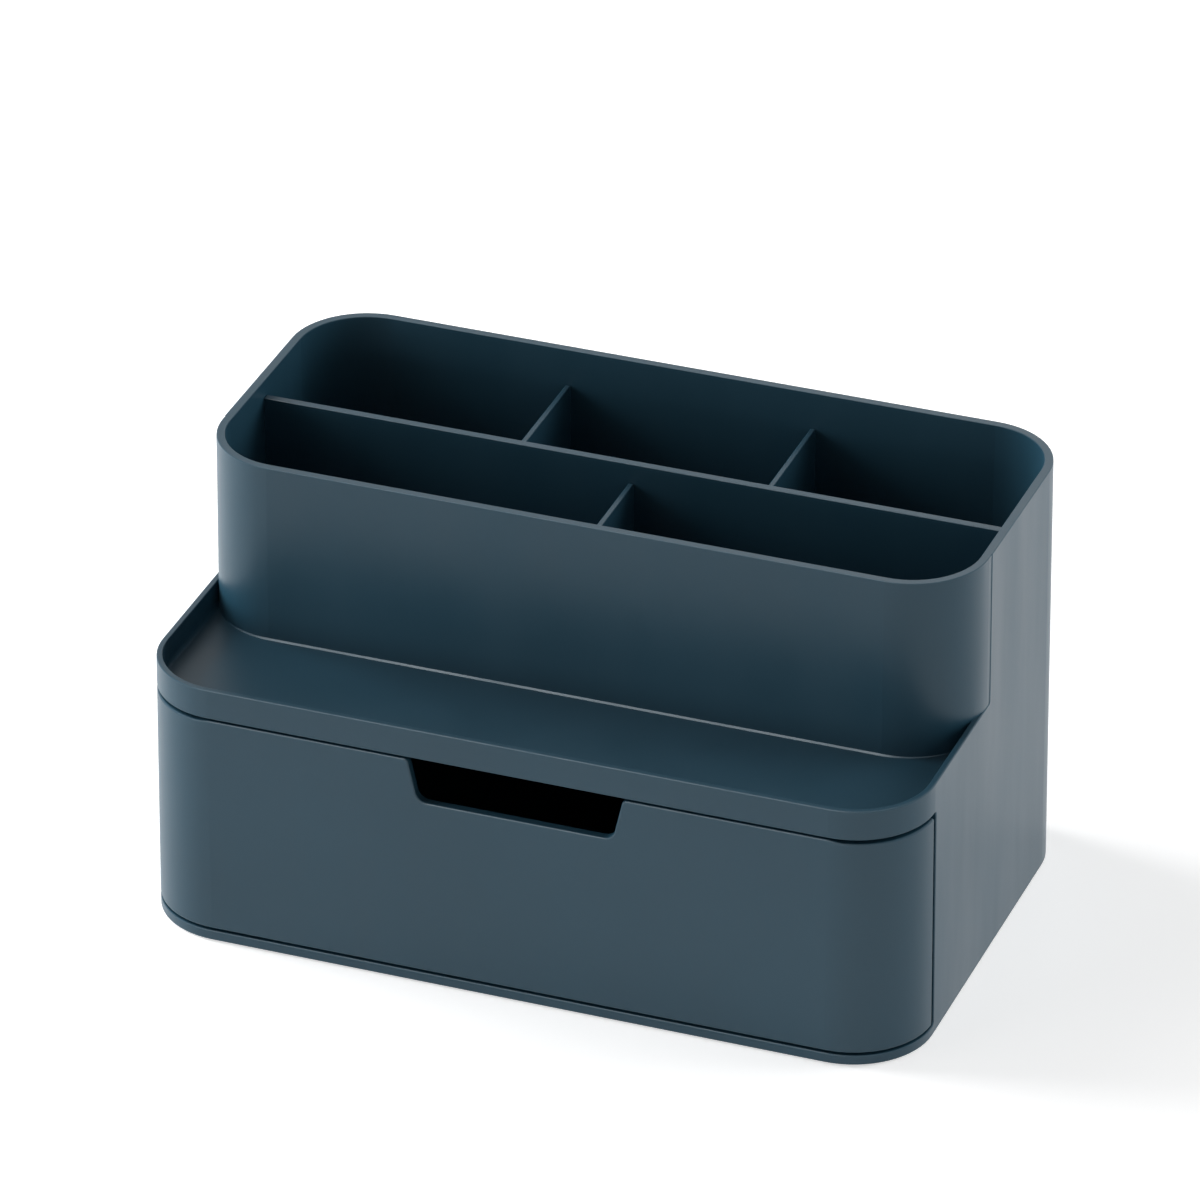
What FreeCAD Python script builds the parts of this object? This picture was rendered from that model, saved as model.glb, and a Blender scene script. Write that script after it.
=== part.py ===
import FreeCAD, Part
import Sketcher
import math
import os

# Desk organizer in moulded plastic: five bins behind a stepped tray, over one drawer.
# Millimetres. +Z is up, +X is to the right seen from the front, and the front faces -Y.
# The origin lies on the table, under the middle of the base outline.

# Driving sizes, all real sizes in millimetres, except the drafts and the slope in degrees
SIZES = {
    # Outside of the housing
    "width": 250.0,
    "depth": 157.0,
    "rim_height": 140.0,
    "corner_radius": 25.6,
    "draft": 0.4,
    "wall": 2.6,
    "edge_round": 0.4,
    "rim_round": 0.3,
    # Base, with a shallow recess that holds the feet
    "strip_height": 3.3,
    "skirt_wall": 2.4,
    "recess_depth": 0.9,
    "foot_proud": 0.6,
    "foot_diameter": 11.0,
    "foot_edge": 0.3,
    "foot_inset": 20.0,
    # Deck, which is the floor of the tray and of the bins and the roof of the drawer bay
    "deck_underside": 78.8,
    "deck_thickness": 1.5,
    "lip_height": 9.8,
    "lip_wall": 2.0,
    "tray_fillet": 1.4,
    "tray_run": 21.0,
    "tray_toe": 0.5,
    "tray_toe_slope": 45.0,
    # Bins
    "bin_setback": 49.3,
    "bin_corner_radius": 25.0,
    "bin_fillet": 1.5,
    "side_step": 0.2,
    "step_setback": 76.5,
    "step_fillet": 1.0,
    # Divider panels
    "divider_thickness": 2.6,
    "divider_drop": 5.8,
    "divider_setback": 100.9,
    "cross_thickness": 1.7,
    "cross_drop": 12.4,
    "panel_clearance": 0.1,
    "panel_round": 0.35,
    # Drawer bay in the housing
    "bay_wall": 3.2,
    "cheek_fillet": 1.2,
    # Drawer
    "drawer_gap": 0.8,
    "drawer_wrap": 25.0,
    "drawer_side_gap": 1.6,
    "drawer_side_clearance": 0.6,
    "drawer_back_clearance": 0.3,
    "face_wall": 2.5,
    "face_corner_radius": 1.0,
    "face_edge_round": 0.7,
    "corner_relief": 0.5,
    "corner_relief_run": 4.0,
    "relief_bend_radius": 10.0,
    "drawer_wall": 2.0,
    "drawer_floor": 2.0,
    "drawer_draft": 0.5,
    "drawer_fillet": 2.0,
    "drawer_travel": 105.0,
    # Finger notch in the drawer's front
    "notch_width": 69.0,
    "notch_depth": 14.2,
    "notch_side_run": 3.2,
    "notch_radius": 4.0,
    "notch_mouth_radius": 1.5,
    # Runners under the drawer
    "runner_height": 0.5,
    "runner_width": 4.0,
    "runner_spacing": 180.0,
    "runner_length": 110.0,
    # Stop ribs under the deck, which the drawer's back meets
    "stop_width": 14.0,
    "stop_drop": 2.0,
    "stop_land": 1.2,
    "stop_ramp": 3.0,
    "stop_spacing": 120.0,
    "stop_clearance": 0.3,
    # Distance by which a cut runs past the faces that it opens
    "overrun": 2.0,
}

# Heights above the table
SKIRT_Z = "sizes.foot_proud"
RECESS_Z = f"({SKIRT_Z} + sizes.recess_depth)"
FLOOR_Z = f"({SKIRT_Z} + sizes.strip_height)"
UNDER_Z = "sizes.deck_underside"
DECK_Z = f"({UNDER_Z} + sizes.deck_thickness)"
LIP_Z = f"({UNDER_Z} + sizes.lip_height)"
RIM_Z = "sizes.rim_height"
DIVIDER_Z = f"({RIM_Z} - sizes.divider_drop)"
CROSS_Z = f"({RIM_Z} - sizes.cross_drop)"
DRAWER_LOW_Z = f"({FLOOR_Z} + sizes.drawer_gap)"
DRAWER_TOP_Z = f"({UNDER_Z} - sizes.drawer_gap)"
DRAWER_FLOOR_Z = f"({DRAWER_LOW_Z} + sizes.drawer_floor)"

# Outline of the base at its lowest edge
SIDE_X = "sizes.width / 2"
BACK_Y = "sizes.depth / 2"
FRONT_Y = "-sizes.depth / 2"
LEAN = "tan(sizes.draft)"


def leaned(height):
    """How far a drafted outer face stands in from the base outline at a height."""
    return f"{LEAN} * ({height} - {SKIRT_Z})"


def bin_lean(height):
    """How far a drafted face of the bins stands in at a height, from the deck up."""
    return f"{LEAN} * ({height} - {DECK_Z})"


# Inside of the bins at the rim, and at any height below it
BIN_FRONT_Y = f"({FRONT_Y} + sizes.bin_setback)"
MOUTH_X = f"({SIDE_X} - {leaned(RIM_Z)} - sizes.side_step - sizes.wall)"
MOUTH_FRONT_Y = f"({BIN_FRONT_Y} + {bin_lean(RIM_Z)} + sizes.wall)"
MOUTH_BACK_Y = f"({BACK_Y} - {leaned(RIM_Z)} - sizes.wall)"


def inside_x(height):
    return f"({MOUTH_X} - {LEAN} * ({RIM_Z} - {height}))"


def inside_front_y(height):
    return f"({MOUTH_FRONT_Y} + {LEAN} * ({RIM_Z} - {height}))"


def inside_back_y(height):
    return f"({MOUTH_BACK_Y} - {LEAN} * ({RIM_Z} - {height}))"


# Lengthwise divider, and the step line on the side panels
DIVIDER_FRONT_Y = f"({FRONT_Y} + sizes.divider_setback)"
DIVIDER_BACK_Y = f"({DIVIDER_FRONT_Y} + sizes.divider_thickness)"
STEP_Y = f"({FRONT_Y} + sizes.step_setback)"

# Drawer bay, and the drawer tub inside it
BAY_X = f"({SIDE_X} - sizes.bay_wall)"
BAY_BACK_Y = f"({BACK_Y} - sizes.bay_wall)"
CHEEK_Y = f"({FRONT_Y} + sizes.drawer_wrap + sizes.drawer_side_gap)"
WRAP_Y = f"({FRONT_Y} + sizes.drawer_wrap)"
TUB_X = f"({BAY_X} - sizes.drawer_side_clearance)"
TUB_BACK_Y = f"({BAY_BACK_Y} - sizes.drawer_back_clearance)"
TUB_INSIDE_X = f"({TUB_X} - sizes.drawer_wall)"
TUB_INSIDE_BACK_Y = f"({TUB_BACK_Y} - sizes.drawer_wall)"
TUB_INSIDE_RADIUS = f"(sizes.corner_radius - {SIDE_X} + {TUB_INSIDE_X})"
FACE_INSET = f"({leaned(DRAWER_TOP_Z)} + sizes.face_wall)"
FACE_INSIDE_Y = f"({FRONT_Y} + {FACE_INSET})"
STOP_BACK_Y = f"({TUB_INSIDE_BACK_Y} - sizes.drawer_travel - sizes.stop_clearance)"
STOP_FRONT_Y = f"({STOP_BACK_Y} - sizes.stop_land - sizes.stop_ramp)"

# An edge is picked by testing points along it, at these shares of its length
SAMPLE_SHARES = (0.02, 0.25, 0.5, 0.75, 0.98)
# How close a point must lie to a plane to count as on it
TOUCH = 0.01

document = FreeCAD.newDocument("desk_organizer")
sheet = document.addObject("Spreadsheet::Sheet", "sizes")


def fill_sheet():
    for row, (alias, value) in enumerate(SIZES.items(), 1):
        sheet.set(f"A{row}", alias)
        sheet.set(f"B{row}", str(value))
        sheet.setAlias(f"B{row}", alias)
    document.recompute()


def number(expression):
    """Value of an expression in the sheet's sizes."""
    value = sheet.evalExpression(expression)
    return float(getattr(value, "Value", value))


# Building blocks for bodies, sketches and features

def new_body(label):
    body = document.addObject("PartDesign::Body", label)
    body.Label = label
    return body


def new_sketch(body, name, role, offset):
    """Sketch on one of the body's origin planes, moved along its normal."""
    plane = next(item for item in body.Origin.OriginFeatures if item.Role == role)
    sketch = body.newObject("Sketcher::SketchObject", name)
    sketch.AttachmentSupport = (plane, "")
    sketch.MapMode = "FlatFace"
    sketch.setExpression("AttachmentOffset.Base.z", offset)
    return sketch


def drive(sketch, constraint, name, expression):
    """Add a constraint and tie it to an expression in the sheet's sizes."""
    index = sketch.addConstraint(constraint)
    sketch.renameConstraint(index, name)
    sketch.setExpression(f"Constraints.{name}", expression)


def draw_rounded_box(sketch, left, right, front, back, front_radius=None, back_radius=None):
    """Rectangle with round front corners, round back corners, both or neither."""
    x_left, x_right, y_front, y_back = (number(item) for item in (left, right, front, back))
    front_r = number(front_radius) if front_radius else 0.0
    back_r = number(back_radius) if back_radius else 0.0
    ends = [
        ((x_left + front_r, y_front), (x_right - front_r, y_front)),
        ((x_right, y_front + front_r), (x_right, y_back - back_r)),
        ((x_right - back_r, y_back), (x_left + back_r, y_back)),
        ((x_left, y_back - back_r), (x_left, y_front + front_r)),
    ]
    lines = []
    for start, end in ends:
        segment = Part.LineSegment(FreeCAD.Vector(*start, 0), FreeCAD.Vector(*end, 0))
        lines.append(sketch.addGeometry(segment, False))
    for position, line in enumerate(lines):
        kind = "Vertical" if position % 2 else "Horizontal"
        sketch.addConstraint(Sketcher.Constraint(kind, line))
    corners = [
        ("front_right", front_radius, front_r, (x_right - front_r, y_front + front_r)),
        ("back_right", back_radius, back_r, (x_right - back_r, y_back - back_r)),
        ("back_left", back_radius, back_r, (x_left + back_r, y_back - back_r)),
        ("front_left", front_radius, front_r, (x_left + front_r, y_front + front_r)),
    ]
    quarter = math.pi / 2
    for position, (name, expression, radius, centre) in enumerate(corners):
        line, following = lines[position], lines[(position + 1) % len(lines)]
        if not expression:
            sketch.addConstraint(Sketcher.Constraint("Coincident", line, 2, following, 1))
            continue
        circle = Part.Circle(FreeCAD.Vector(*centre, 0), FreeCAD.Vector(0, 0, 1), radius)
        start = (position - 1) * quarter
        arc = sketch.addGeometry(Part.ArcOfCircle(circle, start, start + quarter), False)
        sketch.addConstraint(Sketcher.Constraint("Tangent", line, 2, arc, 1))
        sketch.addConstraint(Sketcher.Constraint("Tangent", arc, 2, following, 1))
        drive(sketch, Sketcher.Constraint("Radius", arc, radius), f"{name}_radius", expression)
    front_line, right_line, back_line, left_line = lines
    drive(sketch, Sketcher.Constraint("DistanceY", -1, 1, front_line, 1, y_front), "front", front)
    drive(sketch, Sketcher.Constraint("DistanceX", -1, 1, right_line, 1, x_right), "right", right)
    drive(sketch, Sketcher.Constraint("DistanceY", -1, 1, back_line, 1, y_back), "back", back)
    drive(sketch, Sketcher.Constraint("DistanceX", -1, 1, left_line, 1, x_left), "left", left)


def draw_polygon(sketch, points):
    """Closed polygon whose every corner is placed by two expressions."""
    places = [(number(across), number(up)) for across, up in points]
    lines = []
    for position, place in enumerate(places):
        following = places[(position + 1) % len(places)]
        segment = Part.LineSegment(FreeCAD.Vector(*place, 0), FreeCAD.Vector(*following, 0))
        lines.append(sketch.addGeometry(segment, False))
    for position, line in enumerate(lines):
        following = lines[(position + 1) % len(lines)]
        sketch.addConstraint(Sketcher.Constraint("Coincident", line, 2, following, 1))
        across, up = points[position]
        x, y = places[position]
        drive(sketch, Sketcher.Constraint("DistanceX", -1, 1, line, 1, x), f"across_{position}", across)
        drive(sketch, Sketcher.Constraint("DistanceY", -1, 1, line, 1, y), f"up_{position}", up)


def extrude(body, kind, sketch, length, draft=None, reverse=False):
    """Pad or pocket of a sketch, which may narrow by a draft."""
    feature = body.newObject(f"PartDesign::{kind}", f"{sketch.Name}_{kind.lower()}")
    feature.Profile = sketch
    feature.Reversed = reverse
    feature.setExpression("Length", length)
    if draft:
        feature.setExpression("TaperAngle", draft)
    sketch.Visibility = False
    document.recompute()
    return feature


def edges_where(feature, test):
    """Names of the edges whose sampled points all pass the test."""
    names = []
    for position, edge in enumerate(feature.Shape.Edges, 1):
        first, last = edge.ParameterRange
        points = [edge.valueAt(first + (last - first) * share) for share in SAMPLE_SHARES]
        if all(test(point) for point in points):
            names.append(f"Edge{position}")
    return names


def fillet(body, name, radius, test):
    """Round the edges of the body's last feature that pass the test."""
    feature = body.newObject("PartDesign::Fillet", name)
    base = feature.BaseFeature or body.Tip
    feature.Base = (base, edges_where(base, test))
    feature.setExpression("Radius", radius)
    document.recompute()
    return feature


def at(value, expression):
    """Whether a coordinate lies at the place that an expression gives."""
    return abs(value - number(expression)) < TOUCH


def depth_inside(point):
    """How far a point lies inside the drafted outer faces at its own height."""
    lean = math.tan(math.radians(number("sizes.draft"))) * (point.z - number(SKIRT_Z))
    radius = number("sizes.corner_radius") - lean
    across = abs(point.x) - number(SIDE_X) + lean + radius
    along = abs(point.y) - number(BACK_Y) + lean + radius
    corner = math.hypot(max(across, 0), max(along, 0))
    return radius - corner - min(max(across, along), 0)


def on_outside(point):
    return abs(depth_inside(point)) < TOUCH


def mirror(body, feature, name):
    """Repeat a feature on the other side of the middle plane."""
    plane = next(item for item in body.Origin.OriginFeatures if item.Role == "YZ_Plane")
    copy = body.newObject("PartDesign::Mirrored", name)
    copy.Originals = [feature]
    copy.MirrorPlane = (plane, [""])
    body.Tip = copy
    document.recompute()
    return copy


def build_housing():
    """One moulding: side panels, back, base, deck, tray lip and the walls round the bins."""
    body = new_body("housing")

    # Block from the base up to the rim, with its upper front cut away above the tray's lip
    outline = new_sketch(body, "base_outline", "XY_Plane", SKIRT_Z)
    draw_rounded_box(
        outline, f"-{SIDE_X}", SIDE_X, FRONT_Y, BACK_Y, "sizes.corner_radius", "sizes.corner_radius"
    )
    extrude(body, "Pad", outline, f"{RIM_Z} - {SKIRT_Z}", "-sizes.draft")
    upper_front = new_sketch(body, "upper_front", "YZ_Plane", f"-{SIDE_X} - sizes.overrun")
    draw_rounded_box(
        upper_front, f"{FRONT_Y} - sizes.overrun", STEP_Y, LIP_Z, f"{RIM_Z} + sizes.overrun"
    )
    extrude(body, "Pocket", upper_front, "sizes.width + sizes.overrun + sizes.overrun", reverse=True)
    fillet(body, "step_fillet", "sizes.step_fillet", lambda p: at(p.z, LIP_Z) and at(p.y, STEP_Y))

    # Tray recess, whose back end is buried in the bins' walls
    inset = f"({leaned(LIP_Z)} + sizes.lip_wall)"
    tray_back_y = f"({BIN_FRONT_Y} + sizes.tray_run)"
    recess = new_sketch(body, "tray_recess", "XY_Plane", LIP_Z)
    draw_rounded_box(
        recess,
        f"{inset} - {SIDE_X}",
        f"{SIDE_X} - {inset}",
        f"{FRONT_Y} + {inset}",
        tray_back_y,
        f"sizes.corner_radius - {inset}",
    )
    extrude(body, "Pocket", recess, f"{LIP_Z} - {DECK_Z}")
    fillet(body, "tray_floor_fillet", "sizes.tray_fillet", lambda p: at(p.z, DECK_Z))
    in_tray = lambda p: not on_outside(p) and p.y < number(tray_back_y) + TOUCH
    fillet(body, "inner_lip_round", "sizes.edge_round", lambda p: at(p.z, LIP_Z) and in_tray(p))
    in_front = lambda p: p.y < number(STEP_Y) + TOUCH
    above_lip = lambda p: number(LIP_Z) - TOUCH < p.z < number(RIM_Z)
    outer_step = lambda p: on_outside(p) and in_front(p) and above_lip(p)
    fillet(body, "outer_step_round", "sizes.edge_round", outer_step)

    # Front of the bins, stepped in from the side panels and buried in them at its back
    front = new_sketch(body, "bin_front_outline", "XY_Plane", DECK_Z)
    step = f"({leaned(DECK_Z)} + sizes.side_step)"
    draw_rounded_box(
        front,
        f"{step} - {SIDE_X}",
        f"{SIDE_X} - {step}",
        BIN_FRONT_Y,
        f"{STEP_Y} + sizes.step_fillet",
        "sizes.bin_corner_radius",
    )
    extrude(body, "Pad", front, f"{RIM_Z} - {DECK_Z}", "-sizes.draft")

    # Sloped toe where that front meets the tray's floor, no wider than the front is
    toe = new_sketch(body, "tray_toe_outline", "XY_Plane", DECK_Z)
    draw_rounded_box(
        toe,
        f"{step} - {SIDE_X}",
        f"{SIDE_X} - {step}",
        f"{BIN_FRONT_Y} - sizes.tray_toe",
        f"{STEP_Y} + sizes.step_fillet",
        "sizes.bin_corner_radius + sizes.tray_toe",
    )
    extrude(body, "Pad", toe, "sizes.tray_toe", "-sizes.tray_toe_slope")

    # Inside of the bins
    bins = new_sketch(body, "bin_inside", "XY_Plane", RIM_Z)
    draw_rounded_box(
        bins,
        f"-{MOUTH_X}",
        MOUTH_X,
        MOUTH_FRONT_Y,
        MOUTH_BACK_Y,
        f"sizes.bin_corner_radius - {bin_lean(RIM_Z)} - sizes.wall",
        f"sizes.corner_radius - {leaned(RIM_Z)} - sizes.wall",
    )
    extrude(body, "Pocket", bins, f"{RIM_Z} - {DECK_Z}", "-sizes.draft")
    in_bins = lambda p: p.y > number(MOUTH_FRONT_Y) and abs(p.x) < number(MOUTH_X)
    fillet(body, "bin_floor_fillet", "sizes.bin_fillet", lambda p: at(p.z, DECK_Z) and in_bins(p))

    # Drawer bay, open to the front, where the drawer's face wraps round both corners
    bay = new_sketch(body, "drawer_bay", "XY_Plane", FLOOR_Z)
    draw_rounded_box(
        bay,
        f"-{BAY_X}",
        BAY_X,
        f"{FRONT_Y} - sizes.overrun",
        BAY_BACK_Y,
        None,
        "sizes.corner_radius - sizes.bay_wall",
    )
    extrude(body, "Pocket", bay, f"{UNDER_Z} - {FLOOR_Z}", reverse=True)
    face_room = new_sketch(body, "face_room", "XY_Plane", FLOOR_Z)
    draw_rounded_box(
        face_room,
        f"-{SIDE_X} - sizes.overrun",
        f"{SIDE_X} + sizes.overrun",
        f"{FRONT_Y} - sizes.overrun",
        CHEEK_Y,
    )
    extrude(body, "Pocket", face_room, f"{UNDER_Z} - {FLOOR_Z}", reverse=True)
    at_cheek = lambda p: at(p.y, CHEEK_Y) and (at(p.z, FLOOR_Z) or at(p.z, UNDER_Z))
    fillet(body, "cheek_fillet", "sizes.cheek_fillet", at_cheek)

    # Shallow recess under the base
    skirt = new_sketch(body, "base_recess", "XY_Plane", SKIRT_Z)
    draw_rounded_box(
        skirt,
        f"sizes.skirt_wall - {SIDE_X}",
        f"{SIDE_X} - sizes.skirt_wall",
        f"{FRONT_Y} + sizes.skirt_wall",
        f"{BACK_Y} - sizes.skirt_wall",
        "sizes.corner_radius - sizes.skirt_wall",
        "sizes.corner_radius - sizes.skirt_wall",
    )
    extrude(body, "Pocket", skirt, "sizes.recess_depth", reverse=True)

    # Stop ribs under the deck: a ramp that the drawer's back rides over, and a square back
    rib = new_sketch(
        body, "stop_profile", "YZ_Plane", "sizes.stop_spacing / 2 - sizes.stop_width / 2"
    )
    stop_z = f"{UNDER_Z} - sizes.stop_drop"
    draw_polygon(
        rib,
        [
            (STOP_BACK_Y, UNDER_Z),
            (STOP_FRONT_Y, UNDER_Z),
            (f"{STOP_FRONT_Y} + sizes.stop_ramp", stop_z),
            (STOP_BACK_Y, stop_z),
        ],
    )
    pad = extrude(body, "Pad", rib, "sizes.stop_width")
    mirror(body, pad, "stop_ribs")

    # Small rounds on the moulding's outer edges
    bay_front_y = f"{CHEEK_Y} + sizes.cheek_fillet"
    at_bay_height = lambda p: number(FLOOR_Z) - TOUCH < p.z < number(UNDER_Z) + TOUCH
    beside_bay = lambda p: p.y < number(bay_front_y) + TOUCH
    at_mouth = lambda p: on_outside(p) and at_bay_height(p) and beside_bay(p)
    fillet(body, "mouth_round", "sizes.edge_round", at_mouth)
    fillet(body, "skirt_round", "sizes.edge_round", lambda p: at(p.z, SKIRT_Z) and on_outside(p))
    fillet(body, "rim_round", "sizes.rim_round", lambda p: at(p.z, RIM_Z))
    return body


def build_drawer():
    """One moulding: a tub whose face wraps round both front corners of the housing."""
    body = new_body("drawer")

    # Face, flush with the housing's drafted outside, cut off where the side panels begin
    face = new_sketch(body, "face_outline", "XY_Plane", DRAWER_LOW_Z)
    lean = leaned(DRAWER_LOW_Z)
    draw_rounded_box(
        face,
        f"{lean} - {SIDE_X}",
        f"{SIDE_X} - {lean}",
        f"{FRONT_Y} + {lean}",
        f"{BACK_Y} - {lean}",
        f"sizes.corner_radius - {lean}",
        f"sizes.corner_radius - {lean}",
    )
    height = f"{DRAWER_TOP_Z} - {DRAWER_LOW_Z}"
    extrude(body, "Pad", face, height, "-sizes.draft")
    depth = f"{DRAWER_TOP_Z} - {DRAWER_FLOOR_Z}"
    face_inside = new_sketch(body, "face_inside", "XY_Plane", DRAWER_TOP_Z)
    draw_rounded_box(
        face_inside,
        f"{FACE_INSET} - {SIDE_X}",
        f"{SIDE_X} - {FACE_INSET}",
        f"{FRONT_Y} + {FACE_INSET}",
        f"{BACK_Y} - {FACE_INSET}",
        f"sizes.corner_radius - {FACE_INSET}",
        f"sizes.corner_radius - {FACE_INSET}",
    )
    extrude(body, "Pocket", face_inside, depth, "-sizes.drawer_draft")
    behind = new_sketch(body, "behind_face", "XY_Plane", DRAWER_TOP_Z)
    draw_rounded_box(
        behind,
        f"-{SIDE_X} - sizes.overrun",
        f"{SIDE_X} + sizes.overrun",
        WRAP_Y,
        f"{BACK_Y} + sizes.overrun",
    )
    extrude(body, "Pocket", behind, height)

    # Returns from the face's ends to the tub's sides, each buried in the face's wall
    returns = new_sketch(body, "return_outline", "XY_Plane", DRAWER_LOW_Z)
    return_x = f"({SIDE_X} - {FACE_INSET} + sizes.face_wall / 2)"
    return_y = f"({WRAP_Y} - sizes.drawer_wall)"
    draw_rounded_box(returns, f"-{return_x}", return_x, return_y, WRAP_Y)
    extrude(body, "Pad", returns, height)

    # Tub, which runs back into the bay
    tub = new_sketch(body, "tub_outline", "XY_Plane", DRAWER_LOW_Z)
    draw_rounded_box(
        tub,
        f"-{TUB_X}",
        TUB_X,
        return_y,
        TUB_BACK_Y,
        None,
        "sizes.corner_radius - sizes.bay_wall - sizes.drawer_side_clearance",
    )
    extrude(body, "Pad", tub, height)
    inside = new_sketch(body, "tub_inside", "XY_Plane", DRAWER_TOP_Z)
    draw_rounded_box(
        inside,
        f"-{TUB_INSIDE_X}",
        TUB_INSIDE_X,
        f"{return_y} - sizes.drawer_wall",
        TUB_INSIDE_BACK_Y,
        None,
        TUB_INSIDE_RADIUS,
    )
    extrude(body, "Pocket", inside, depth, "-sizes.drawer_draft")
    fillet(body, "tub_fillet", "sizes.drawer_fillet", lambda p: at(p.z, DRAWER_FLOOR_Z))

    # Finger notch through the face
    notch = new_sketch(body, "notch_profile", "XZ_Plane", f"{BACK_Y} + sizes.overrun")
    half = "sizes.notch_width / 2"
    low = f"{DRAWER_TOP_Z} - sizes.notch_depth"
    draw_polygon(
        notch,
        [
            (f"-{half}", f"{DRAWER_TOP_Z} + sizes.overrun"),
            (f"-{half}", DRAWER_TOP_Z),
            (f"sizes.notch_side_run - {half}", low),
            (f"{half} - sizes.notch_side_run", low),
            (half, DRAWER_TOP_Z),
            (half, f"{DRAWER_TOP_Z} + sizes.overrun"),
        ],
    )
    extrude(body, "Pocket", notch, f"{FACE_INSIDE_Y} - {FRONT_Y} + sizes.overrun + sizes.overrun")
    across = lambda p, x, z: at(abs(p.x), x) and at(p.z, z) and p.y < number(WRAP_Y)
    lower_x = f"{half} - sizes.notch_side_run"
    fillet(body, "notch_fillet", "sizes.notch_radius", lambda p: across(p, lower_x, low))
    mouth = lambda p: across(p, half, DRAWER_TOP_Z)
    fillet(body, "notch_mouth_round", "sizes.notch_mouth_radius", mouth)

    # Face's top edge, a little lower round both corners than along the front
    relief = new_sketch(body, "corner_relief_profile", "XZ_Plane", f"-{WRAP_Y}")
    straight_x = f"({SIDE_X} - sizes.corner_radius)"
    relief_z = f"{DRAWER_TOP_Z} - sizes.corner_relief"
    bend_x = f"({straight_x} + sizes.corner_relief_run)"
    draw_polygon(
        relief,
        [
            (straight_x, f"{DRAWER_TOP_Z} + sizes.overrun"),
            (straight_x, DRAWER_TOP_Z),
            (bend_x, relief_z),
            (f"{SIDE_X} + sizes.overrun", relief_z),
            (f"{SIDE_X} + sizes.overrun", f"{DRAWER_TOP_Z} + sizes.overrun"),
        ],
    )
    pocket = extrude(body, "Pocket", relief, "sizes.drawer_wrap + sizes.overrun", reverse=True)
    mirror(body, pocket, "corner_reliefs")
    at_bend = lambda p: across(p, straight_x, DRAWER_TOP_Z) or across(p, bend_x, relief_z)
    fillet(body, "relief_bend", "sizes.relief_bend_radius", at_bend)

    # Rounds on the face's outer edges
    beside_tub = lambda p: at(p.y, WRAP_Y) and abs(p.x) > number(TUB_X) - TOUCH
    end_corner = lambda p: beside_tub(p) and (at(p.z, relief_z) or at(p.z, DRAWER_LOW_Z))
    fillet(body, "face_corner_round", "sizes.face_corner_radius", end_corner)
    end_y = f"{WRAP_Y} - sizes.face_corner_radius"
    at_end = lambda p: p.y > number(end_y) - TOUCH
    above = lambda p: p.z > number(low) - TOUCH
    face_edge = lambda p: on_outside(p) and (at_end(p) or above(p) or at(p.z, DRAWER_LOW_Z))
    fillet(body, "face_edge_round", "sizes.face_edge_round", face_edge)

    # Runners under the tub
    runner = new_sketch(body, "runner_outline", "XY_Plane", DRAWER_LOW_Z)
    middle = f"({WRAP_Y} + {TUB_BACK_Y}) / 2"
    draw_rounded_box(
        runner,
        "sizes.runner_spacing / 2 - sizes.runner_width / 2",
        "sizes.runner_spacing / 2 + sizes.runner_width / 2",
        f"{middle} - sizes.runner_length / 2",
        f"{middle} + sizes.runner_length / 2",
    )
    pad = extrude(body, "Pad", runner, "sizes.runner_height", reverse=True)
    mirror(body, pad, "runners")
    return body


def build_lengthwise_divider():
    """Panel between the front and the back bins, its ends leaning with the side walls."""
    body = new_body("lengthwise_divider")
    panel = new_sketch(body, "lengthwise_profile", "XZ_Plane", f"-{DIVIDER_BACK_Y}")
    low = f"({inside_x(DECK_Z)} - sizes.panel_clearance)"
    raised_z = f"({DECK_Z} + sizes.bin_fillet)"
    raised = f"({inside_x(raised_z)} - sizes.panel_clearance)"
    top = f"({inside_x(DIVIDER_Z)} - sizes.panel_clearance)"
    draw_polygon(
        panel,
        [
            (f"sizes.bin_fillet - {low}", DECK_Z),
            (f"{low} - sizes.bin_fillet", DECK_Z),
            (raised, raised_z),
            (top, DIVIDER_Z),
            (f"-{top}", DIVIDER_Z),
            (f"-{raised}", raised_z),
        ],
    )
    extrude(body, "Pad", panel, "sizes.divider_thickness")
    fillet(body, "divider_round", "sizes.panel_round", lambda p: at(p.z, DIVIDER_Z))
    return body


def build_cross_divider(label, middle_x, front, back):
    """Thin panel from front to back; an end at a wall leans with it and clears its fillet."""
    body = new_body(label)
    panel = new_sketch(body, f"{label}_profile", "YZ_Plane", f"{middle_x} - sizes.cross_thickness / 2")
    raised_z = f"({DECK_Z} + sizes.bin_fillet)"
    front_end = lambda height: f"({front(height)} + sizes.panel_clearance)"
    back_end = lambda height: f"({back(height)} - sizes.panel_clearance)"
    points = [(front_end(CROSS_Z), CROSS_Z)]
    if front is inside_front_y:
        points += [(front_end(raised_z), raised_z), (f"{front_end(DECK_Z)} + sizes.bin_fillet", DECK_Z)]
    else:
        points += [(front_end(DECK_Z), DECK_Z)]
    if back is inside_back_y:
        points += [(f"{back_end(DECK_Z)} - sizes.bin_fillet", DECK_Z), (back_end(raised_z), raised_z)]
    else:
        points += [(back_end(DECK_Z), DECK_Z)]
    points += [(back_end(CROSS_Z), CROSS_Z)]
    draw_polygon(panel, points)
    extrude(body, "Pad", panel, "sizes.cross_thickness")
    fillet(body, f"{label}_round", "sizes.panel_round", lambda p: at(p.z, CROSS_Z))
    return body


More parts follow.
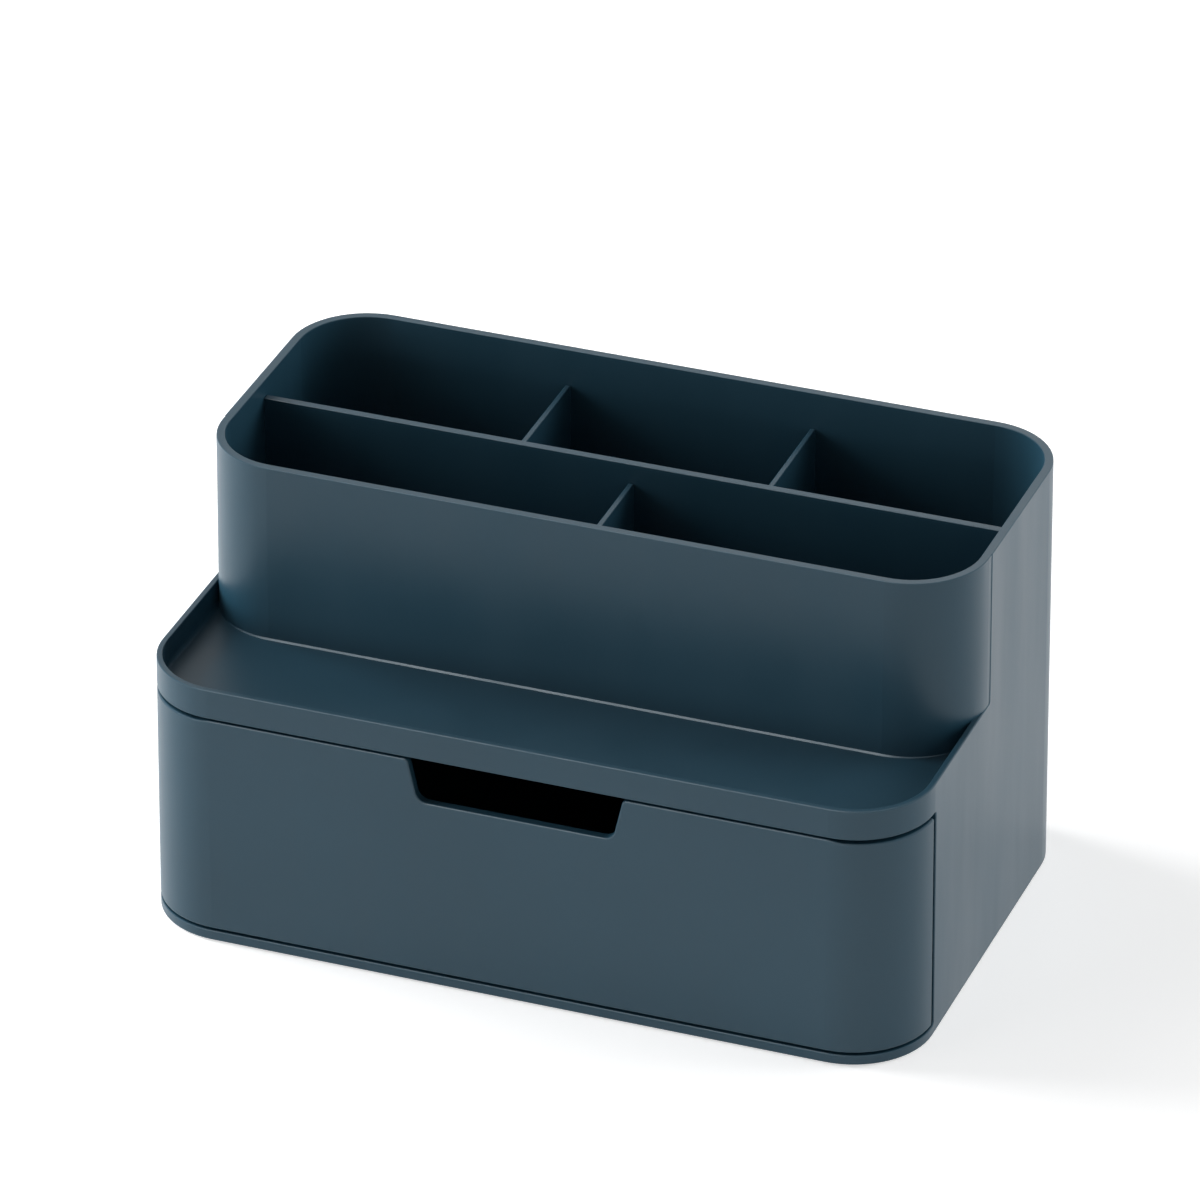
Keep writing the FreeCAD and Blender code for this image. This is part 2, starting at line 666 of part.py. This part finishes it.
def build_cross_dividers():
    """One panel halves the front row of bins, and two part the back row into thirds."""
    divider_front = lambda height: DIVIDER_FRONT_Y
    divider_back = lambda height: DIVIDER_BACK_Y
    third = f"{MOUTH_X} / 3"
    return [
        build_cross_divider("front_cross_divider", "0", inside_front_y, divider_front),
        build_cross_divider("back_cross_divider_left", f"-{third}", divider_back, inside_back_y),
        build_cross_divider("back_cross_divider_right", third, divider_back, inside_back_y),
    ]


def build_feet():
    """Four round pads that stand in the recess under the base."""
    feet = []
    radius = "sizes.foot_diameter / 2"
    for end, end_sign in (("front", "-"), ("back", "")):
        for side, side_sign in (("left", "-"), ("right", "")):
            label = f"foot_{end}_{side}"
            body = new_body(label)
            profile = new_sketch(body, f"{label}_profile", "XZ_Plane", "0")
            draw_polygon(
                profile,
                [
                    ("0", "0"),
                    (f"{radius} - sizes.foot_edge", "0"),
                    (radius, "sizes.foot_edge"),
                    (radius, RECESS_Z),
                    ("0", RECESS_Z),
                ],
            )
            turn = body.newObject("PartDesign::Revolution", f"{label}_turn")
            turn.Profile = profile
            turn.ReferenceAxis = (profile, ["V_Axis"])
            body.setExpression("Placement.Base.x", f"{side_sign}({SIDE_X} - sizes.foot_inset)")
            body.setExpression("Placement.Base.y", f"{end_sign}({BACK_Y} - sizes.foot_inset)")
            profile.Visibility = False
            feet.append(body)
    return feet


def check_and_write(nodes):
    """Refuse a failed feature or an empty solid, then write each sub-part's file."""
    document.recompute()
    for item in document.Objects:
        if "Invalid" in item.State or "Error" in item.State:
            raise RuntimeError(f"{item.Name} failed: {item.State}")
    os.makedirs("parts", exist_ok=True)
    for node in nodes:
        shape = node.Shape
        if shape.isNull() or not shape.isValid():
            raise RuntimeError(f"{node.Label} has no valid shape")
        shape.exportStep(f"parts/{node.Label}.step")
        print(f"{node.Label}: {len(shape.Solids)} solid, {shape.Volume:.0f} mm3")


fill_sheet()
nodes = [build_housing(), build_drawer(), build_lengthwise_divider()]
nodes += build_cross_dividers()
nodes += build_feet()
check_and_write(nodes)
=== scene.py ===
import math
import bpy
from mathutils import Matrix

# Desk organizer in slate-blue moulded plastic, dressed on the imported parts. Metres and degrees, +Z up.

# Camera fitted to the photo, in the part's own frame; lens, sensor in millimetres
CAMERA_PLACE = (0.852327, -2.278334, 1.481970)
CAMERA_YAW = 20.551
CAMERA_PITCH = -29.628
CAMERA_LENS = 275.252
CAMERA_SENSOR = 36.0
CAMERA_NEAREST = 0.1
CAMERA_FARTHEST = 50.0

# Colours in linear light: the two ends of the cloudy tint, and the paler edges, which are partly wear and partly a
# painted highlight
PLASTIC_DARK = (0.0150, 0.0495, 0.0760, 1.0)
PLASTIC_LIGHT = (0.0170, 0.0555, 0.0850, 1.0)
PLASTIC_EDGE_WEAR_AND_HIGHLIGHT = (0.0300, 0.0900, 0.1300, 1.0)
RUBBER_DARK = (0.010, 0.010, 0.011, 1.0)
RUBBER_LIGHT = (0.018, 0.018, 0.019, 1.0)
RUBBER_EDGE_WEAR_AND_HIGHLIGHT = (0.030, 0.030, 0.031, 1.0)
FLOOR_COLOUR = (0.86, 0.86, 0.86, 1.0)
WORLD_COLOUR = (1.0, 1.0, 1.0, 1.0)

# Gloss: roughness from the smoothest to the roughest spots, and one index of refraction for both materials
PLASTIC_ROUGHNESS = (0.34, 0.42)
RUBBER_ROUGHNESS = (0.70, 0.85)
REFRACTION = 1.40

# Noises: scale in grains to the metre, detail, and a stretch under one on the axis along which the grains are long
EVEN = (1.0, 1.0, 1.0)
TINT_NOISE = (14.0, 3.0, EVEN)
# The next noise breaks up the paler edges, which are partly wear and partly a painted highlight
EDGE_WEAR_AND_HIGHLIGHT_NOISE = (220.0, 2.0, EVEN)
GLOSS_NOISE = (60.0, 4.0, (1.0, 1.0, 0.15))
WAVE_NOISE = (30.0, 1.0, (1.0, 1.0, 0.1))
GRAIN_NOISE = (2600.0, 2.0, EVEN)
# Values between which a noise mostly stays, spread over the whole range of what it drives
NOISE_LOW = 0.3
NOISE_HIGH = 0.7

# Bumps: strength and height
WAVE_BUMP = (0.06, 0.002)
GRAIN_BUMP = (0.10, 0.0001)

# Paler edges, partly wear and partly a painted highlight along rounded edges: how far they reach into each face,
# how closely they are sampled, the cosine of the turn at which they are fully pale, and the least share that the
# noise leaves of them
EDGE_REACH = 0.0006
EDGE_SAMPLES = 6
EDGE_FULL = 0.9
EDGE_LEAST = 0.45

# Floor: half its width, and how much white is added to it as the camera sees it and as the object mirrors it
FLOOR_REACH = 1.8
FLOOR_SEEN = 0.55
FLOOR_MIRRORED = 0.68

# Lamps face the middle of the object. Those that the object doesn't mirror are the strong ones, in place of
# which its gloss shows the white surroundings. Those that don't light it only show as thin bright lines along
# rounded edges and a faint sheen on level faces.
LAMP_AIM = (0.0, 0.0, 0.07)
# Name, place, width, height, power in watts, whether it lights the object, whether the object mirrors it
LAMPS = (
    ("left_low", (-1.902, 0.0, 0.688), 1.2, 1.2, 50.0, True, False),
    ("left_high", (-1.414, 0.0, 1.484), 1.2, 1.2, 11.0, True, False),
    ("right_low", (1.647, 0.951, 0.688), 1.2, 1.2, 26.0, True, False),
    ("front_left", (-1.366, -1.366, 0.588), 1.2, 1.2, 8.0, True, True),
    ("front_right", (1.366, -1.366, 0.588), 1.2, 1.2, 4.0, True, True),
    ("front_floor", (0.0, -1.992, 0.244), 1.2, 0.48, 5.5, True, True),
    ("back_low", (0.0, 1.813, 0.915), 1.2, 1.2, 3.6, True, True),
    ("edge_glint", (-0.608, -0.973, 1.708), 1.0, 1.0, 28.0, False, True),
    ("overhead", (0.0, 0.518, 2.0), 1.6, 1.6, 16.0, False, True),
)

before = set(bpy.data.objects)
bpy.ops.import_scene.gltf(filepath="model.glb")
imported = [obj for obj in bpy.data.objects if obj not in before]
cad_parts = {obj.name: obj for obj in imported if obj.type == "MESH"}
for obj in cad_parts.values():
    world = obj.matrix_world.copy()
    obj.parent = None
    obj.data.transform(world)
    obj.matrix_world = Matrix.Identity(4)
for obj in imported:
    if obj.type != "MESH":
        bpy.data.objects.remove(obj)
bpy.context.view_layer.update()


def link(tree, source, output, target, socket):
    tree.links.new(source.outputs[output], target.inputs[socket])


def calculate(tree, operation):
    """Math node, whose inputs the caller links or sets."""
    node = tree.nodes.new("ShaderNodeMath")
    node.operation = operation
    return node


def noise(tree, coordinates, scale, detail, stretch):
    mapping = tree.nodes.new("ShaderNodeMapping")
    mapping.inputs["Scale"].default_value = stretch
    link(tree, coordinates, "Object", mapping, "Vector")
    texture = tree.nodes.new("ShaderNodeTexNoise")
    texture.inputs["Scale"].default_value = scale
    texture.inputs["Detail"].default_value = detail
    link(tree, mapping, "Vector", texture, "Vector")
    return texture


def blend(tree, source, dark, light):
    """Turns a noise into a change between two colours."""
    node = tree.nodes.new("ShaderNodeValToRGB")
    ends = node.color_ramp.elements
    ends[0].position, ends[0].color = NOISE_LOW, dark
    ends[1].position, ends[1].color = NOISE_HIGH, light
    link(tree, source, "Fac", node, "Fac")
    return node


def spread(tree, source, low, high):
    """Turns a noise into a number between low and high."""
    node = tree.nodes.new("ShaderNodeMapRange")
    node.inputs["From Min"].default_value = NOISE_LOW
    node.inputs["From Max"].default_value = NOISE_HIGH
    node.inputs["To Min"].default_value = low
    node.inputs["To Max"].default_value = high
    link(tree, source, "Fac", node, "Value")
    return node


def bump(tree, source, strength, height, below=None):
    """Turns a noise into relief, on top of another bump if there is one below."""
    node = tree.nodes.new("ShaderNodeBump")
    node.inputs["Strength"].default_value = strength
    node.inputs["Distance"].default_value = height
    link(tree, source, "Fac", node, "Height")
    if below:
        link(tree, below, "Normal", node, "Normal")
    return node


def edge_wear_and_highlight(tree, coordinates):
    """Share from zero on open faces to one along edges, whose paler colour is partly wear and partly a painted
    highlight, broken up by a noise.
    """
    rounded = tree.nodes.new("ShaderNodeBevel")
    rounded.samples = EDGE_SAMPLES
    rounded.inputs["Radius"].default_value = EDGE_REACH
    surface = tree.nodes.new("ShaderNodeNewGeometry")
    turn = tree.nodes.new("ShaderNodeVectorMath")
    turn.operation = "DOT_PRODUCT"
    link(tree, rounded, "Normal", turn, 0)
    link(tree, surface, "Normal", turn, 1)
    edge = tree.nodes.new("ShaderNodeMapRange")
    edge.inputs["From Min"].default_value = 1.0
    edge.inputs["From Max"].default_value = EDGE_FULL
    link(tree, turn, "Value", edge, "Value")
    patchy = spread(tree, noise(tree, coordinates, *EDGE_WEAR_AND_HIGHLIGHT_NOISE), EDGE_LEAST, 1.0)
    share = calculate(tree, "MULTIPLY")
    link(tree, edge, "Result", share, 0)
    link(tree, patchy, "Result", share, 1)
    return share


def moulded(name, dark, light, wear_and_highlight, roughness):
    """Moulded material: cloudy tint, paler edges that are partly wear and partly a painted highlight, uneven
    gloss, fine spark-eroded grain and upright waves.
    """
    material = bpy.data.materials.new(name)
    material.use_nodes = True
    tree = material.node_tree
    shader = tree.nodes["Principled BSDF"]
    shader.inputs["IOR"].default_value = REFRACTION
    coordinates = tree.nodes.new("ShaderNodeTexCoord")
    tint = blend(tree, noise(tree, coordinates, *TINT_NOISE), dark, light)
    # Paler colour along edges: partly wear, partly a painted highlight on the rounded edges
    rub_and_highlight = tree.nodes.new("ShaderNodeMixRGB")
    link(tree, edge_wear_and_highlight(tree, coordinates), "Value", rub_and_highlight, "Fac")
    link(tree, tint, "Color", rub_and_highlight, "Color1")
    rub_and_highlight.inputs["Color2"].default_value = wear_and_highlight
    link(tree, rub_and_highlight, "Color", shader, "Base Color")
    gloss = spread(tree, noise(tree, coordinates, *GLOSS_NOISE), *roughness)
    link(tree, gloss, "Result", shader, "Roughness")
    waves = bump(tree, noise(tree, coordinates, *WAVE_NOISE), *WAVE_BUMP)
    grain = bump(tree, noise(tree, coordinates, *GRAIN_NOISE), *GRAIN_BUMP, waves)
    link(tree, grain, "Normal", shader, "Normal")
    return material


def white_seen(tree):
    """One for rays that show the surroundings, straight, mirrored or through glass, and zero for the rest."""
    rays = tree.nodes.new("ShaderNodeLightPath")
    mirrored = calculate(tree, "MAXIMUM")
    link(tree, rays, "Is Camera Ray", mirrored, 0)
    link(tree, rays, "Is Glossy Ray", mirrored, 1)
    seen = calculate(tree, "MAXIMUM")
    link(tree, mirrored, "Value", seen, 0)
    link(tree, rays, "Is Transmission Ray", seen, 1)
    return seen


def build_floor():
    """Flat white floor that keeps the object's shadow and is seen as white where nothing shades it."""
    mesh = bpy.data.meshes.new("floor")
    signs = ((-1, -1), (1, -1), (1, 1), (-1, 1))
    corners = [(x * FLOOR_REACH, y * FLOOR_REACH, 0.0) for x, y in signs]
    mesh.from_pydata(corners, [], [(0, 1, 2, 3)])
    floor = bpy.data.objects.new("floor", mesh)
    bpy.context.scene.collection.objects.link(floor)
    material = bpy.data.materials.new("floor_white")
    material.use_nodes = True
    tree = material.node_tree
    tree.nodes.clear()
    output = tree.nodes.new("ShaderNodeOutputMaterial")
    diffuse = tree.nodes.new("ShaderNodeBsdfDiffuse")
    diffuse.inputs["Color"].default_value = FLOOR_COLOUR
    mirrored = calculate(tree, "MULTIPLY")
    link(tree, white_seen(tree), "Value", mirrored, 0)
    mirrored.inputs[1].default_value = FLOOR_MIRRORED
    rays = tree.nodes.new("ShaderNodeLightPath")
    lift = calculate(tree, "MULTIPLY_ADD")
    link(tree, rays, "Is Camera Ray", lift, 0)
    lift.inputs[1].default_value = FLOOR_SEEN - FLOOR_MIRRORED
    link(tree, mirrored, "Value", lift, 2)
    glow = tree.nodes.new("ShaderNodeEmission")
    link(tree, lift, "Value", glow, "Strength")
    both = tree.nodes.new("ShaderNodeAddShader")
    link(tree, diffuse, "BSDF", both, 0)
    link(tree, glow, "Emission", both, 1)
    link(tree, both, "Shader", output, "Surface")
    mesh.materials.append(material)


def build_world():
    """White surroundings that are seen and mirrored, but light nothing."""
    world = bpy.data.worlds.new("studio")
    world.use_nodes = True
    bpy.context.scene.world = world
    tree = world.node_tree
    tree.nodes.clear()
    output = tree.nodes.new("ShaderNodeOutputWorld")
    sky = tree.nodes.new("ShaderNodeBackground")
    sky.inputs["Color"].default_value = WORLD_COLOUR
    link(tree, white_seen(tree), "Value", sky, "Strength")
    link(tree, sky, "Background", output, "Surface")


def build_lamp(name, place, width, height, power, lights, mirrored):
    """Rectangular studio light that lights the object, is mirrored in it, or both."""
    data = bpy.data.lights.new(name, "AREA")
    data.shape = "RECTANGLE"
    data.size = width
    data.size_y = height
    data.energy = power
    lamp = bpy.data.objects.new(name, data)
    bpy.context.scene.collection.objects.link(lamp)
    lamp.location = place
    lamp.visible_diffuse = lights
    lamp.visible_glossy = mirrored
    x, y, z = [end - start for end, start in zip(LAMP_AIM, place)]
    lamp.rotation_euler = (math.pi / 2 + math.atan2(z, math.hypot(x, y)), 0.0, math.atan2(-x, y))


def build_camera():
    data = bpy.data.cameras.new("camera")
    data.sensor_width = CAMERA_SENSOR
    data.lens = CAMERA_LENS
    data.clip_start = CAMERA_NEAREST
    data.clip_end = CAMERA_FARTHEST
    camera = bpy.data.objects.new("camera", data)
    bpy.context.scene.collection.objects.link(camera)
    camera.location = CAMERA_PLACE
    camera.rotation_euler = (math.radians(90.0 + CAMERA_PITCH), 0.0, math.radians(CAMERA_YAW))
    bpy.context.scene.camera = camera


plastic = moulded("satin_slate_plastic", PLASTIC_DARK, PLASTIC_LIGHT, PLASTIC_EDGE_WEAR_AND_HIGHLIGHT, PLASTIC_ROUGHNESS)
rubber = moulded("foot_rubber", RUBBER_DARK, RUBBER_LIGHT, RUBBER_EDGE_WEAR_AND_HIGHLIGHT, RUBBER_ROUGHNESS)
for name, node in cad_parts.items():
    node.data.materials.clear()
    node.data.materials.append(rubber if name.startswith("foot") else plastic)

build_floor()
build_world()
for lamp_settings in LAMPS:
    build_lamp(*lamp_settings)
build_camera()
bpy.context.scene.view_settings.view_transform = "Standard"
